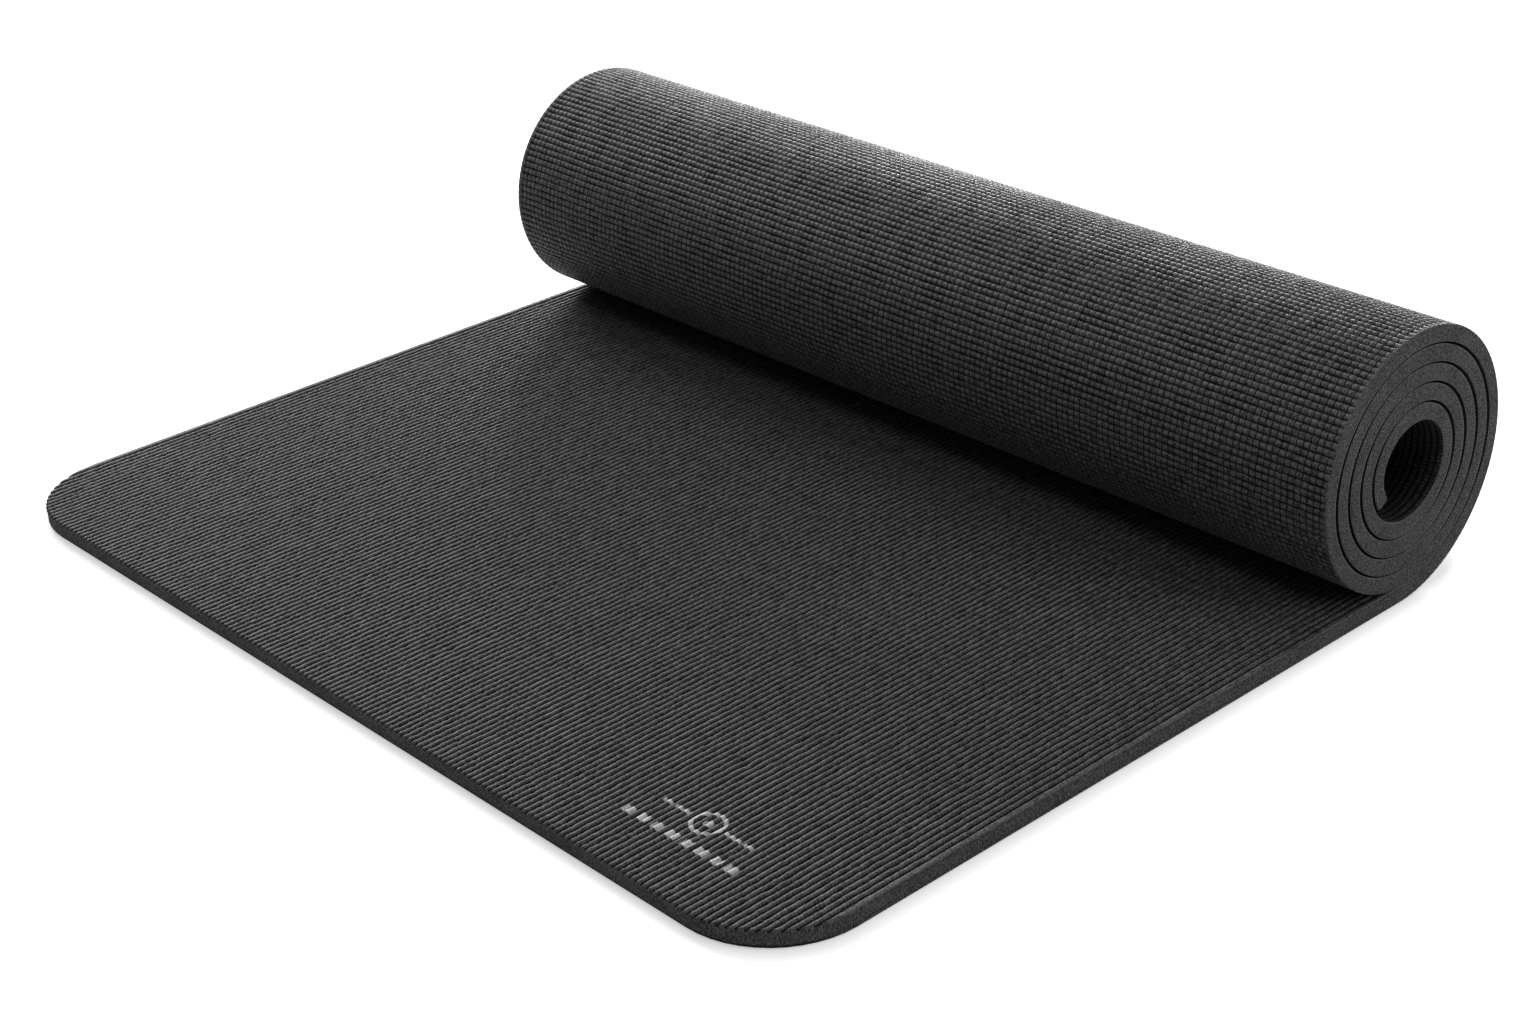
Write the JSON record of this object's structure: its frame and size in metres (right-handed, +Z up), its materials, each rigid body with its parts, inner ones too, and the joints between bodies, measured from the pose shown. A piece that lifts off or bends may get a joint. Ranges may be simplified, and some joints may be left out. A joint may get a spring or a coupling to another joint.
{
  "type": "exercise mat",
  "caption": "Foam exercise mat, half laid out: a ribbed flat front with rounded corners runs under a loose spiral roll with a grid-embossed base.",
  "frame": {"origin": "on the floor, at the centre of the footprint of the flat part and the roll together", "axes": "+X across the mat and along the roll's axis, -Y towards the flat part's front edge, +Z up"},
  "size_m": [0.61, 0.5012, 0.1453],
  "materials": {
    "base_skin": "black foam skin embossed with a fine grid, satin",
    "foam_core": "charcoal closed-cell foam with a matt, speckled cut face",
    "top_skin": "black foam skin embossed with fine beaded ribs along the mat, satin"
  },
  "bodies": {
    "root": {"base_skin": "base_skin", "foam_core": "foam_core", "top_skin": "top_skin"}
  },
  "joints": []
}
